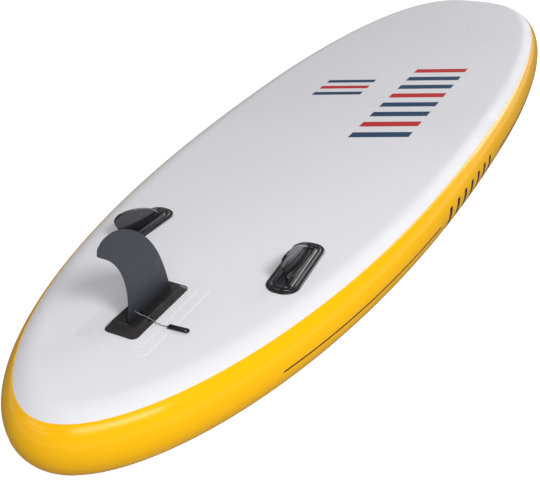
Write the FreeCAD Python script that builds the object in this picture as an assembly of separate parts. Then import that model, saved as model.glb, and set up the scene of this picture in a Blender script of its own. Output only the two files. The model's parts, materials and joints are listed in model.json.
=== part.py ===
"""Inflatable windsurf board, lying deck down with its three fins up.

Millimetres. +Y points to the nose, +X to the board's right as it lies, +Z up.
The origin is on the ground, below the middle of the board.
"""
import FreeCAD, Part
import math
import os

Vector = FreeCAD.Vector

# Board
BOARD_LENGTH = 3000.0
BOARD_WIDTH = 860.0
BOARD_THICKNESS = 150.0
WIDEST_Y = 186.0
HALF_WIDTH = BOARD_WIDTH / 2
HALF_LENGTH = BOARD_LENGTH / 2
WIDEST_POINT = (HALF_WIDTH, WIDEST_Y)
NOSE_POLES = [WIDEST_POINT, (HALF_WIDTH, 739.0), (347.0, 1409.0), (204.0, HALF_LENGTH), (0.0, HALF_LENGTH)]
TAIL_POLES = [WIDEST_POINT, (HALF_WIDTH, -521.0), (387.0, -1031.0), (218.0, -HALF_LENGTH), (0.0, -HALF_LENGTH)]
BAND_THICKNESS = 1.0
BAND_HALF_HEIGHT = 60.0
SKIN_THICKNESS = 1.0
WRAP_THICKNESS = 0.8
WRAP_HALF_WIDTH = 70.0
WRAP_HALF_HEIGHT = 52.0
THREAD_PITCH = 150.0
THREAD_RADIUS = 1.5
THREAD_MARGIN = 20.0
THREAD_TO_FITTING = 45.0

# Deck pad, which the board lies on
PAD_THICKNESS = 8.0
PAD_INSET = 105.0
PAD_GAP = 8.0
PAD_CORNER = 18.0
PAD_BEVEL = 2.5
PAD_TAIL_END = -1322.0
PAD_TAIL_FRONT = -640.0
PAD_SIDE_FRONT = 430.0
PAD_NOSE_END = 640.0
CENTRE_STRIP_HALF = 92.0
MIDDLE_PAD_FRONT = -165.0

DECK_Z = PAD_THICKNESS
BOTTOM_Z = DECK_Z + BOARD_THICKNESS
MIDDLE_Z = DECK_Z + BOARD_THICKNESS / 2

# Centre fin, its box and the patches under it
PATCH_THICKNESS = 0.7
LARGE_PATCH = (166.0, 253.0, 20.0, -1143.5)
SMALL_PATCH = (122.0, 227.0, 18.0, -1140.5)
FIN_BOX_Z = BOTTOM_Z + 2 * PATCH_THICKNESS
FIN_BOX_WIDTH = 78.0
FIN_BOX_LENGTH = 198.0
FIN_BOX_Y = -1136.0
FIN_BOX_HEIGHT = 14.0
FIN_BOX_EDGE = 1.6
FIN_BOX_CORNER = 13.0
FIN_BOX_TOP_WIDTH = 57.0
FIN_BOX_TOP_LENGTH = 168.0
FIN_BOX_TOP_CORNER = 7.0
VALLEY_TOP_HALF = 24.5
VALLEY_TOP_REAR_Y = -1215.5
VALLEY_Z = 8.4
SLOT_HALF = 4.6
FOOT_SLOT_HALF = 11.0
FOOT_SLOT_LOW = 2.0
FOOT_SLOT_HIGH = 6.0
KEY_SLOT_Y = -1174.0
KEY_SLOT_WIDTH = 13.0
KEY_SLOT_LOW = 5.0
KEY_SLOT_HIGH = 9.2
KEY_SLOT_LEFT_X = -17.0
FIN_PLAY = 0.4
FIN_FRONT_Y = -1055.0
FIN_REAR_Y = -1203.0
SLOT_REAR_Y = FIN_REAR_Y - FIN_PLAY
FIN_EDGE = 0.7
FULLEST_SHARE = 0.38

# Leading edge and trailing edge as (y, z) pairs, and the thickness between them
FIN_SECTIONS = [
    ((-1055, 164), (-1203, 164), 7.4),
    ((-1061, 197), (-1195, 199), 7.0),
    ((-1070, 231), (-1192, 230), 6.4),
    ((-1084, 269), (-1195, 262), 5.8),
    ((-1106, 306), (-1203, 288), 5.2),
    ((-1133, 336), (-1215, 310), 4.6),
    ((-1165, 360), (-1228, 326), 4.0),
    ((-1200, 375), (-1240, 337), 3.4),
    ((-1232, 376), (-1250, 345), 2.8),
    ((-1252, 367), (-1257, 352), 2.2),
]

# Lock key and its cord
KEY_LENGTH = 46.0
KEY_WIDTH = 12.0
KEY_THICKNESS = 3.2
KEY_HOLE_RADIUS = 2.8
KEY_HOLE_FROM_END = 7.0
KEY_X = 96.0
KEY_Y = -1169.0
KEY_TURN = 4.0
KEY_LIFT = 0.4
CORD_RADIUS = 1.0
CORD_ROUTE = [
    (1.4, -1178.5, 180.5),
    (9.0, -1180.5, 180.3),
    (18.0, -1180.6, 178.4),
    (27.5, -1178.6, 176.2),
    (36.0, -1176.4, 171.4),
    (43.5, -1174.6, 165.2),
    (52.0, -1173.0, 161.8),
    (61.0, -1173.4, 160.9),
    (68.0, -1172.2, 161.0),
    (73.0, -1170.8, 161.4),
]

# Side fins
SIDE_FIN_X = 207.0
SIDE_FIN_Y = -873.0
SIDE_FIN_TOE = 4.0
SIDE_BASE_WIDTH = 76.0
SIDE_BASE_LENGTH = 213.0
SIDE_BASE_CORNER = 34.0
SIDE_BASE_THICKNESS = 3.0
SIDE_RIDGES = [(9.0, 4.0, 2.6), (20.0, 3.5, 4.2)]
SIDE_BASE_ROUND = 2.4
SIDE_LEADING_SHARE = 0.36
SIDE_TRAILING_SHARE = 0.12
SIDE_FIN_SECTIONS = [
    ((76, 3.0), (-56, 3.0), 19.0),
    ((69, 11.5), (-61, 12.0), 14.6),
    ((59, 22.0), (-66, 24.0), 13.0),
    ((34, 38.0), (-73, 38.0), 11.8),
    ((2, 52.0), (-78, 48.0), 10.4),
    ((-30, 61.5), (-80, 55.0), 9.0),
    ((-56, 65.5), (-79, 60.0), 7.0),
]

# Carry handle
HANDLE_HALF_LENGTH = 140.0
HANDLE_PATCH_Y = 112.0
HANDLE_PATCH = (78.0, 64.0, 14.0)
DECK_PATCH_THICKNESS = 1.0
WEBBING_WIDTH = 38.0
WEBBING_THICKNESS = 1.6
WEBBING_CORNER = 4.0
GRIP_HALF_LENGTH = 58.0
GRIP_WIDTH = 50.0
GRIP_WALL = 0.9
GRIP_CORNER = 6.0

# Air valve
VALVE_Y = 1215.0
VALVE_FLANGE_RADIUS = 34.0
VALVE_FLANGE_THICKNESS = 3.0
VALVE_BARREL_RADIUS = 24.8
VALVE_WELL_RADIUS = 21.0
VALVE_DEPTH = 26.0
VALVE_FLOOR = 3.0
VALVE_PORT_RADIUS = 13.0
VALVE_HUB_RADIUS = 6.0
SPOKE_COUNT = 3
SPOKE_WIDTH = 3.0
STEM_RADIUS = 3.0
STEM_FIT = 0.06
BUTTON_RADIUS = 8.0
BUTTON_THICKNESS = 4.0
BUTTON_DEPTH = 6.0
SEAL_THICKNESS = 2.5
SEAL_RADIUS = 17.0
DISC_THICKNESS = 3.0
SPRING_RADIUS = 4.6
SPRING_WIRE = 0.5
SPRING_TURNS = 5
NUT_THICKNESS = 7.0
NUT_RADIUS = 33.0
CAP_RADIUS = 30.0
CAP_THICKNESS = 2.4
CAP_ROUND = 1.0
CAP_GAP = 0.3
CAP_SKIRT_RADIUS = 20.6
CAP_SKIRT_WALL = 2.6
CAP_SKIRT_DEPTH = 4.5
CAP_GRIP = (34.0, 6.0, 1.6)

# Mast foot insert
MAST_Y = 300.0
MAST_PATCH_RADIUS = 84.0
MAST_FLANGE_RADIUS = 36.0
MAST_FLANGE_THICKNESS = 3.0
MAST_FLANGE_ROUND = 1.5
MAST_BOSS_RADIUS = 18.0
MAST_BOSS_DEPTH = 30.0
BUSH_RADIUS = 7.0
BUSH_LENGTH = 22.0
M8_MINOR_RADIUS = 3.4

# D-rings: name, x, y and the way that the ring points
RING_PLACES = [
    ("front_left", -150.0, 1010.0, -1),
    ("front_right", 150.0, 1010.0, -1),
    ("rear_left", -190.0, 730.0, 1),
    ("rear_right", 190.0, 730.0, 1),
    ("tow", 0.0, 1372.0, 1),
    ("leash", 0.0, -1372.0, -1),
]
RING_HALF = 15.0
RING_WIRE = 2.0
RING_FIT = 0.06
STRAP_THICKNESS = 1.2
STRAP_WIDTH = 24.0
STRAP_TAIL = 24.0
RING_PATCH_RADIUS = 33.0
RING_PATCH_OFFSET = 8.0
RING_Z = DECK_Z - DECK_PATCH_THICKNESS - RING_WIRE - RING_FIT - STRAP_THICKNESS


def half_outline(inset):
    """Poles of the right half of the outline, nose part and tail part, drawn in by inset."""
    across = 1 - inset / HALF_WIDTH
    along = 1 - inset / HALF_LENGTH
    return [[(x * across, y * along) for x, y in part] for part in (NOSE_POLES, TAIL_POLES)]


def outline_face(inset, z):
    """The board's outline as a flat face at height z."""
    nose, tail = half_outline(inset)
    edges = []
    for side, part, forward in ((1, nose, True), (-1, nose, False), (-1, tail, True), (1, tail, False)):
        poles = [Vector(side * x, y, z) for x, y in part]
        if not forward:
            poles.reverse()
        curve = Part.BezierCurve()
        curve.setPoles(poles)
        edges.append(curve.toShape())
    return Part.Face(Part.Wire(edges))


def rounded_board(inset, thickness):
    """A closed board shape with round rails, its middle at the board's middle height."""
    low = MIDDLE_Z - thickness / 2
    solid = outline_face(inset, low).extrude(Vector(0, 0, thickness))
    flat_edges = [edge for edge in solid.Edges if abs(edge.BoundBox.ZLength) < 0.01]
    return solid.makeFillet(thickness / 2 - 0.1, flat_edges)


def block(x0, x1, y0, y1, z0, z1):
    return Part.makeBox(x1 - x0, y1 - y0, z1 - z0, Vector(x0, y0, z0))


def slab(z0, z1):
    return block(-600, 600, -1700, 1700, z0, z1)


def rounded_rectangle(width, length, radius, centre, z):
    """A flat face with round corners."""
    x, y = centre
    flat = block(x - width / 2, x + width / 2, y - length / 2, y + length / 2, z, z + 1)
    upright = [edge for edge in flat.Edges if edge.BoundBox.ZLength > 0.5]
    solid = flat.makeFillet(radius, upright)
    return min(solid.Faces, key=lambda face: face.CenterOfMass.z)


def plate(width, length, radius, centre, z0, z1):
    """A flat plate with round corners."""
    return rounded_rectangle(width, length, radius, centre, z0).extrude(Vector(0, 0, z1 - z0))


def disc(radius, centre, z0, z1):
    return Part.makeCylinder(radius, z1 - z0, Vector(centre[0], centre[1], z0))


def ring(outer, inner, centre, z0, z1):
    return disc(outer, centre, z0, z1).cut(disc(inner, centre, z0 - 1, z1 + 1))


def group(solids):
    return Part.makeCompound(solids)


def one(shape):
    """The single solid that a cut or a fuse leaves."""
    solids = shape.Solids
    if len(solids) != 1:
        raise ValueError("expected one solid, got %d" % len(solids))
    return solids[0]


def side_of_board(side):
    """A large box that holds only the right side (1) or the left side (-1)."""
    return block(0, 600, -1700, 1700, -50, 250) if side > 0 else block(-600, 0, -1700, 1700, -50, 250)


def make_hull():
    """The two drop-stitch faces, the sidewall inside them and the bands over the rail."""
    outer = rounded_board(0, BOARD_THICKNESS)
    skin_outside = rounded_board(BAND_THICKNESS, BOARD_THICKNESS)
    skin_inset = BAND_THICKNESS + SKIN_THICKNESS
    inside_height = BOARD_THICKNESS - 2 * SKIN_THICKNESS
    skin_inside = rounded_board(skin_inset, inside_height)
    wall_inside = rounded_board(skin_inset + SKIN_THICKNESS, inside_height)
    skins = skin_outside.cut(skin_inside)
    bottom = one(skins.common(slab(MIDDLE_Z, BOTTOM_Z + 50)))
    deck = skins.common(slab(-50, MIDDLE_Z))
    deck = deck.cut(disc(VALVE_BARREL_RADIUS + 0.2, (0, VALVE_Y), 0, 40))
    deck = one(deck.cut(disc(MAST_BOSS_RADIUS + 0.2, (0, MAST_Y), 0, 40)))
    band_slab = slab(MIDDLE_Z - BAND_HALF_HEIGHT, MIDDLE_Z + BAND_HALF_HEIGHT)
    band = outer.common(band_slab).cut(skin_outside)
    wall = one(skin_inside.common(band_slab).cut(wall_inside))
    wrap_outside = rounded_board(-WRAP_THICKNESS, BOARD_THICKNESS)
    wrap_slab = slab(MIDDLE_Z - WRAP_HALF_HEIGHT, MIDDLE_Z + WRAP_HALF_HEIGHT)
    wraps = wrap_outside.common(wrap_slab).cut(outer)
    nose_box = block(-WRAP_HALF_WIDTH, WRAP_HALF_WIDTH, 1000, 1700, -50, 250)
    tail_box = block(-WRAP_HALF_WIDTH, WRAP_HALF_WIDTH, -1700, -1000, -50, 250)
    return {
        "bottom_skin": bottom,
        "deck_skin": deck,
        "inner_sidewall": wall,
        "rail_band_left": one(band.common(side_of_board(-1))),
        "rail_band_right": one(band.common(side_of_board(1))),
        "nose_wrap_patch": one(wraps.common(nose_box)),
        "tail_wrap_patch": one(wraps.common(tail_box)),
    }


def make_threads():
    """Bundles of the threads that tie the two faces together, on a square grid."""
    low = DECK_Z + SKIN_THICKNESS
    high = BOTTOM_Z - SKIN_THICKNESS
    area = outline_face(BOARD_THICKNESS / 2 + THREAD_MARGIN, low)
    columns = int(BOARD_WIDTH / THREAD_PITCH / 2)
    rows = int(BOARD_LENGTH / THREAD_PITCH / 2)
    bundles = []
    for column in range(-columns, columns + 1):
        for row in range(-rows, rows + 1):
            x = column * THREAD_PITCH
            y = row * THREAD_PITCH + THREAD_PITCH / 4
            clear = all(math.hypot(x, y - fitting) > THREAD_TO_FITTING for fitting in (VALVE_Y, MAST_Y))
            if clear and area.isInside(Vector(x, y, low), 0.1, True):
                bundles.append(disc(THREAD_RADIUS, (x, y), low, high))
    return {"drop_stitch_threads": group(bundles)}


def make_deck_pad():
    """Foam pads under the deck, in five pieces round the handle and the mast foot."""
    area = outline_face(PAD_INSET, 0).extrude(Vector(0, 0, PAD_THICKNESS))
    half = CENTRE_STRIP_HALF
    cuts = {
        "deck_pad_tail": (-500, 500, PAD_TAIL_END, PAD_TAIL_FRONT),
        "deck_pad_left": (-500, -half, PAD_TAIL_FRONT + PAD_GAP, PAD_SIDE_FRONT),
        "deck_pad_right": (half, 500, PAD_TAIL_FRONT + PAD_GAP, PAD_SIDE_FRONT),
        "deck_pad_middle": (-half + PAD_GAP, half - PAD_GAP, PAD_TAIL_FRONT + PAD_GAP, MIDDLE_PAD_FRONT),
        "deck_pad_front": (-500, 500, PAD_SIDE_FRONT + PAD_GAP, PAD_NOSE_END),
    }
    pads = {}
    for name, (x0, x1, y0, y1) in cuts.items():
        pad = one(area.common(block(x0, x1, y0, y1, -1, PAD_THICKNESS + 1)))
        upright = [
            edge for edge in pad.Edges
            if edge.BoundBox.ZLength > PAD_THICKNESS - 0.1
            and edge.BoundBox.DiagonalLength < PAD_THICKNESS + 0.1
        ]
        corners = [edge for edge in upright if min(abs(edge.CenterOfMass.y - y) for y in (y0, y1)) < 1]
        pad = pad.makeFillet(PAD_CORNER, corners)
        foot = min(pad.Faces, key=lambda face: face.CenterOfMass.z)
        pads[name] = one(pad.makeChamfer(PAD_BEVEL, foot.Edges))
    return pads


def foil_section(leading, trailing, thickness, front_edge, rear_edge):
    """A foil wire between two points of the plane x = 0: two arcs and two blunt edges."""
    middle = [a * (1 - FULLEST_SHARE) + b * FULLEST_SHARE for a, b in zip(leading, trailing)]
    right_middle = Vector(thickness / 2, *middle)
    left_middle = Vector(-thickness / 2, *middle)
    right = Part.Arc(Vector(front_edge, *leading), right_middle, Vector(rear_edge, *trailing))
    left = Part.Arc(Vector(-rear_edge, *trailing), left_middle, Vector(-front_edge, *leading))
    rear = Part.LineSegment(Vector(rear_edge, *trailing), Vector(-rear_edge, *trailing))
    front = Part.LineSegment(Vector(-front_edge, *leading), Vector(front_edge, *leading))
    return Part.Wire([right.toShape(), rear.toShape(), left.toShape(), front.toShape()])


def prism(points, length):
    """A flat polygon carried along the axis that it is square to."""
    corners = [Vector(*point) for point in points]
    return Part.Face(Part.makePolygon(corners + corners[:1])).extrude(Vector(*length))


def valley(front, low, high):
    """The space between the box's ridges: two sloped sides, and a sloped end at the rear."""
    across = [
        (-VALLEY_TOP_HALF, VALLEY_TOP_REAR_Y, high), (-SLOT_HALF, VALLEY_TOP_REAR_Y, low),
        (SLOT_HALF, VALLEY_TOP_REAR_Y, low), (VALLEY_TOP_HALF, VALLEY_TOP_REAR_Y, high),
    ]
    along = [
        (-FIN_BOX_WIDTH, VALLEY_TOP_REAR_Y, high), (-FIN_BOX_WIDTH, SLOT_REAR_Y, low),
        (-FIN_BOX_WIDTH, front, low), (-FIN_BOX_WIDTH, front, high),
    ]
    sides = prism(across, (0, front - VALLEY_TOP_REAR_Y, 0))
    return sides.common(prism(along, (2 * FIN_BOX_WIDTH, 0, 0)))


def make_fin_box():
    """Two patches and a low box: bevelled sides, a valley closed at the rear, a slot and a keyway."""
    width, length, corner, y = LARGE_PATCH
    large = plate(width, length, corner, (0, y), BOTTOM_Z, BOTTOM_Z + PATCH_THICKNESS)
    width, length, corner, y = SMALL_PATCH
    small = plate(width, length, corner, (0, y), BOTTOM_Z + PATCH_THICKNESS, FIN_BOX_Z)

    base_z = FIN_BOX_Z
    edge_z = base_z + FIN_BOX_EDGE
    top_z = base_z + FIN_BOX_HEIGHT
    centre = (0, FIN_BOX_Y)
    low_size = (FIN_BOX_WIDTH, FIN_BOX_LENGTH, FIN_BOX_CORNER)
    top_size = (FIN_BOX_TOP_WIDTH, FIN_BOX_TOP_LENGTH, FIN_BOX_TOP_CORNER)
    base = plate(*low_size, centre, base_z, edge_z)
    low_wire = rounded_rectangle(*low_size, centre, edge_z).OuterWire
    high_wire = rounded_rectangle(*top_size, centre, top_z).OuterWire
    body = base.fuse(Part.makeLoft([low_wire, high_wire], True, True))

    front = FIN_BOX_Y + FIN_BOX_LENGTH / 2 + 1
    valley_low = base_z + VALLEY_Z
    valley_high = top_z + 0.01
    body = body.cut(valley(front, valley_low, valley_high))
    slot_low = base_z + FOOT_SLOT_LOW
    foot_slot_high = base_z + FOOT_SLOT_HIGH
    body = body.cut(block(-SLOT_HALF, SLOT_HALF, SLOT_REAR_Y, front, slot_low, top_z + 1))
    body = body.cut(block(-FOOT_SLOT_HALF, FOOT_SLOT_HALF, SLOT_REAR_Y, front, slot_low, foot_slot_high))
    y0 = KEY_SLOT_Y - KEY_SLOT_WIDTH / 2
    y1 = KEY_SLOT_Y + KEY_SLOT_WIDTH / 2
    key_low = base_z + KEY_SLOT_LOW
    keyway = block(KEY_SLOT_LEFT_X, FIN_BOX_WIDTH / 2 + 1, y0, y1, key_low, base_z + KEY_SLOT_HIGH)
    notch = block(0, FIN_BOX_TOP_WIDTH / 2 - 2, y0, y1, key_low, top_z + 1)
    body = one(body.cut(keyway).cut(notch).removeSplitter())
    return {"fin_patch_large": large, "fin_patch_small": small, "fin_box": body}


def make_centre_fin():
    """A raked blade with a foot that slides along the box, and the slot for its key."""
    wires = [foil_section(lead, trail, thick, FIN_EDGE, FIN_EDGE) for lead, trail, thick in FIN_SECTIONS]
    blade = Part.makeLoft(wires, True)
    foot_low = FIN_BOX_Z + FOOT_SLOT_LOW + FIN_PLAY
    foot_high = FIN_BOX_Z + FOOT_SLOT_HIGH - FIN_PLAY
    foot_half = FOOT_SLOT_HALF - FIN_PLAY
    foot = block(-foot_half, foot_half, FIN_REAR_Y, FIN_FRONT_Y, foot_low, foot_high)
    y0 = KEY_SLOT_Y - KEY_SLOT_WIDTH / 2
    y1 = KEY_SLOT_Y + KEY_SLOT_WIDTH / 2
    key_slot = block(-20, 20, y0, y1, FIN_BOX_Z + KEY_SLOT_LOW, FIN_BOX_Z + KEY_SLOT_HIGH)
    return {"centre_fin": one(blade.fuse(foot).cut(key_slot))}


def make_side_fin(side):
    """One side fin: an oval base with two ridges round it, and a swept blade."""
    base = plate(SIDE_BASE_WIDTH, SIDE_BASE_LENGTH, SIDE_BASE_CORNER, (0, 0), 0, SIDE_BASE_THICKNESS)
    rim = max(base.Faces, key=lambda face: face.CenterOfMass.z).Edges
    base = base.makeFillet(SIDE_BASE_ROUND, rim)
    for inset, width, height in SIDE_RIDGES:
        sizes = []
        for drawn_in in (inset, inset + width):
            corner = max(SIDE_BASE_CORNER - drawn_in, 6)
            sizes.append((SIDE_BASE_WIDTH - 2 * drawn_in, SIDE_BASE_LENGTH - 2 * drawn_in, corner))
        top = SIDE_BASE_THICKNESS + height
        outer = plate(*sizes[0], (0, 0), SIDE_BASE_THICKNESS - 1, top)
        inner = plate(*sizes[1], (0, 0), SIDE_BASE_THICKNESS - 2, top + 1)
        base = base.fuse(outer.cut(inner))
    base = one(base.removeSplitter())
    wires = []
    for lead, trail, thick in SIDE_FIN_SECTIONS:
        edges = (thick * SIDE_LEADING_SHARE, thick * SIDE_TRAILING_SHARE)
        wires.append(foil_section(lead, trail, thick, *edges))
    blade = Part.makeLoft(wires, True)
    for piece in (base, blade):
        piece.rotate(Vector(0, 0, 0), Vector(0, 0, 1), side * SIDE_FIN_TOE)
        piece.translate(Vector(side * SIDE_FIN_X, SIDE_FIN_Y, BOTTOM_Z))
    return base, blade


def tube_path(route):
    """A wire of straight runs joined by tangent arcs, as large as the runs allow."""
    points = [Vector(*point) for point in route]
    edges = []
    radii = []
    start = points[0]
    for before, corner, after in zip(points, points[1:], points[2:]):
        into = corner - before
        out = after - corner
        shorter = min(into.Length, out.Length)
        turn = into.getAngle(out)
        trim = 0.45 * shorter
        radius = trim / math.tan(turn / 2)
        into_way = Vector(into).normalize()
        out_way = Vector(out).normalize()
        arc_start = corner - into_way * trim
        arc_end = corner + out_way * trim
        inward = (out_way - into_way).normalize()
        centre = corner + inward * math.hypot(radius, trim)
        middle = centre - inward * radius
        edges.append(Part.LineSegment(start, arc_start).toShape())
        edges.append(Part.Arc(arc_start, middle, arc_end).toShape())
        start = arc_end
        radii.append(radius)
    edges.append(Part.LineSegment(start, points[-1]).toShape())
    return Part.Wire(edges), radii


def make_key_and_cord():
    """The flat lock key on the hull and the thin cord that ties it to the fin."""
    path, radii = tube_path(CORD_ROUTE)
    first = Vector(*CORD_ROUTE[0])
    way = Vector(*CORD_ROUTE[1]) - first
    section = Part.Wire(Part.makeCircle(CORD_RADIUS, first, way))
    cord = one(path.makePipeShell([section], True, False))
    expected = math.pi * CORD_RADIUS ** 2 * path.Length
    print("cord radii", [round(radius, 1) for radius in radii])
    print("cord length %.1f, volume over section times length %.4f" % (path.Length, cord.Volume / expected))

    low = FIN_BOX_Z + KEY_LIFT
    key = plate(KEY_LENGTH, KEY_WIDTH, KEY_WIDTH / 2 - 0.3, (0, 0), low, low + KEY_THICKNESS)
    square_end = block(-KEY_LENGTH / 2, 0, -KEY_WIDTH / 2, KEY_WIDTH / 2, low, low + KEY_THICKNESS)
    key = key.fuse(square_end).removeSplitter()
    hole_centre = (KEY_LENGTH / 2 - KEY_HOLE_FROM_END, 0)
    key = key.cut(disc(KEY_HOLE_RADIUS, hole_centre, low - 1, low + KEY_THICKNESS + 1))
    key.rotate(Vector(0, 0, 0), Vector(0, 0, 1), KEY_TURN)
    key.translate(Vector(KEY_X, KEY_Y, 0))
    return {"fin_key": one(key), "fin_key_cord": cord}


def make_handle():
    """Two patches, a webbing strap and a soft grip round it, all pressed flat."""
    patch_low = DECK_Z - DECK_PATCH_THICKNESS
    width, length, corner = HANDLE_PATCH
    patches = [
        plate(width, length, corner, (0, side * HANDLE_PATCH_Y), patch_low, DECK_Z) for side in (-1, 1)
    ]
    strap_low = patch_low - WEBBING_THICKNESS
    strap = plate(WEBBING_WIDTH, 2 * HANDLE_HALF_LENGTH, WEBBING_CORNER, (0, 0), strap_low, patch_low)
    grip_low = strap_low - GRIP_WALL
    grip_high = patch_low + GRIP_WALL
    grip = plate(GRIP_WIDTH, 2 * GRIP_HALF_LENGTH, GRIP_CORNER, (0, 0), grip_low, grip_high)
    grip = one(grip.cut(strap))
    return {"handle_patches": group(patches), "handle_webbing": strap, "handle_grip": grip}


def make_valve():
    """Air valve: flanged body and inner nut, sprung stem with its seal, and a cap."""
    centre = (0, VALVE_Y)
    flange_low = DECK_Z - VALVE_FLANGE_THICKNESS
    floor_low = DECK_Z + VALVE_DEPTH - VALVE_FLOOR
    floor_high = DECK_Z + VALVE_DEPTH
    body = disc(VALVE_FLANGE_RADIUS, centre, flange_low, DECK_Z)
    body = body.fuse(disc(VALVE_BARREL_RADIUS, centre, DECK_Z - 1, floor_high))
    body = body.cut(disc(VALVE_WELL_RADIUS, centre, flange_low - 1, floor_low))
    body = body.cut(disc(VALVE_PORT_RADIUS, centre, floor_low - 1, floor_high + 1))
    hub = disc(VALVE_HUB_RADIUS, centre, floor_low, floor_high)
    for step in range(SPOKE_COUNT):
        spoke = block(0, VALVE_PORT_RADIUS + 1, -SPOKE_WIDTH / 2, SPOKE_WIDTH / 2, floor_low, floor_high)
        spoke.rotate(Vector(0, 0, 0), Vector(0, 0, 1), 360 / SPOKE_COUNT * step)
        spoke.translate(Vector(0, VALVE_Y, 0))
        hub = hub.fuse(spoke)
    body = body.fuse(hub).cut(disc(STEM_RADIUS + STEM_FIT, centre, floor_low - 1, floor_high + 1))

    nut_low = DECK_Z + SKIN_THICKNESS
    nut = ring(NUT_RADIUS, VALVE_BARREL_RADIUS, centre, nut_low, nut_low + NUT_THICKNESS)

    seal = ring(SEAL_RADIUS, VALVE_PORT_RADIUS, centre, floor_high, floor_high + SEAL_THICKNESS)
    disc_low = floor_high + SEAL_THICKNESS
    button_low = DECK_Z + BUTTON_DEPTH - BUTTON_THICKNESS
    button_high = button_low + BUTTON_THICKNESS
    stem = disc(STEM_RADIUS, centre, button_low, disc_low + DISC_THICKNESS)
    stem = stem.fuse(disc(BUTTON_RADIUS, centre, button_low, button_high))
    stem = one(stem.fuse(disc(SEAL_RADIUS, centre, disc_low, disc_low + DISC_THICKNESS)))

    height = floor_low - button_high - 2 * SPRING_WIRE
    helix = Part.makeHelix(height / SPRING_TURNS, height, SPRING_RADIUS)
    wire = Part.Wire(Part.makeCircle(SPRING_WIRE, Vector(SPRING_RADIUS, 0, 0), Vector(0, 1, 0)))
    spring = one(Part.Wire(helix.Edges).makePipeShell([wire], True, True))
    spring.translate(Vector(0, VALVE_Y, button_high + SPRING_WIRE))

    cap_high = flange_low - CAP_GAP
    cap_low = cap_high - CAP_THICKNESS
    cap = disc(CAP_RADIUS, centre, cap_low, cap_high)
    cap = cap.makeFillet(CAP_ROUND, [edge for edge in cap.Edges if abs(edge.CenterOfMass.z - cap_low) < 0.1])
    skirt_high = cap_high + CAP_SKIRT_DEPTH
    skirt = ring(CAP_SKIRT_RADIUS, CAP_SKIRT_RADIUS - CAP_SKIRT_WALL, centre, cap_high - 0.5, skirt_high)
    length, width, height = CAP_GRIP
    bar_y = (VALVE_Y - width / 2, VALVE_Y + width / 2)
    bar = block(-length / 2, length / 2, *bar_y, cap_low - height, cap_low + 0.5)
    cap = one(cap.fuse(skirt).fuse(bar))
    return {
        "valve_body": one(body),
        "valve_nut": nut,
        "valve_seal": seal,
        "valve_stem": stem,
        "valve_spring": spring,
        "valve_cap": cap,
    }


def make_mast_foot():
    """The insert that a mast foot screws into, clamped through the deck by a nut."""
    centre = (0, MAST_Y)
    flange_low = DECK_Z - MAST_FLANGE_THICKNESS
    patch = ring(
        MAST_PATCH_RADIUS, MAST_FLANGE_RADIUS + 0.5, centre, DECK_Z - DECK_PATCH_THICKNESS, DECK_Z
    )
    insert = disc(MAST_FLANGE_RADIUS, centre, flange_low, DECK_Z)
    rim = [edge for edge in insert.Edges if abs(edge.CenterOfMass.z - flange_low) < 0.1]
    insert = insert.makeFillet(MAST_FLANGE_ROUND, rim)
    insert = insert.fuse(disc(MAST_BOSS_RADIUS, centre, DECK_Z - 1, DECK_Z + MAST_BOSS_DEPTH))
    bush_high = flange_low + BUSH_LENGTH
    insert = one(insert.cut(disc(BUSH_RADIUS, centre, flange_low - 1, bush_high)))
    bush = ring(BUSH_RADIUS, M8_MINOR_RADIUS, centre, flange_low, bush_high)
    nut_low = DECK_Z + SKIN_THICKNESS
    nut = ring(NUT_RADIUS, MAST_BOSS_RADIUS, centre, nut_low, nut_low + NUT_THICKNESS)
    return {
        "mast_foot_patch": patch,
        "mast_foot_insert": insert,
        "mast_foot_bush": bush,
        "mast_foot_nut": nut,
    }


def d_ring():
    """A D-ring of round wire, its bar on the X axis and its bow towards +Y."""
    bow = Part.makeTorus(RING_HALF, RING_WIRE, Vector(0, 0, 0), Vector(0, 0, 1))
    bow = bow.common(block(-30, 30, 0, 30, -10, 10))
    bar = Part.makeCylinder(RING_WIRE, 2 * RING_HALF, Vector(-RING_HALF, 0, 0), Vector(1, 0, 0))
    shape = bow.fuse(bar)
    for side in (-1, 1):
        shape = shape.fuse(Part.makeSphere(RING_WIRE, Vector(side * RING_HALF, 0, 0)))
    return one(shape)


def ring_strap():
    """Webbing folded round the ring's bar, both layers running back along the patch."""
    inner = RING_WIRE + RING_FIT
    outer = inner + STRAP_THICKNESS
    start = Vector(-STRAP_WIDTH / 2, 0, 0)
    eye = Part.makeCylinder(outer, STRAP_WIDTH, start, Vector(1, 0, 0))
    tail = block(
        -STRAP_WIDTH / 2, STRAP_WIDTH / 2, -STRAP_TAIL, 0, outer - 2 * STRAP_THICKNESS, outer
    )
    bar_hole = Part.makeCylinder(inner, STRAP_WIDTH, start, Vector(1, 0, 0))
    return one(eye.fuse(tail).cut(bar_hole))


def make_rings():
    """Six D-rings, each with its webbing and its round patch on the deck."""
    nodes = {}
    patches = []
    straps = []
    for name, x, y, way in RING_PLACES:
        patch_centre = (x, y - way * RING_PATCH_OFFSET)
        patches.append(disc(RING_PATCH_RADIUS, patch_centre, DECK_Z - DECK_PATCH_THICKNESS, DECK_Z))
        pair = [ring_strap(), d_ring()]
        for piece in pair:
            if way < 0:
                piece.rotate(Vector(0, 0, 0), Vector(0, 0, 1), 180)
            piece.translate(Vector(x, y, RING_Z))
        straps.append(pair[0])
        nodes["d_ring_" + name] = pair[1]
    nodes["ring_patches"] = group(patches)
    nodes["ring_straps"] = group(straps)
    return nodes


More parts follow.
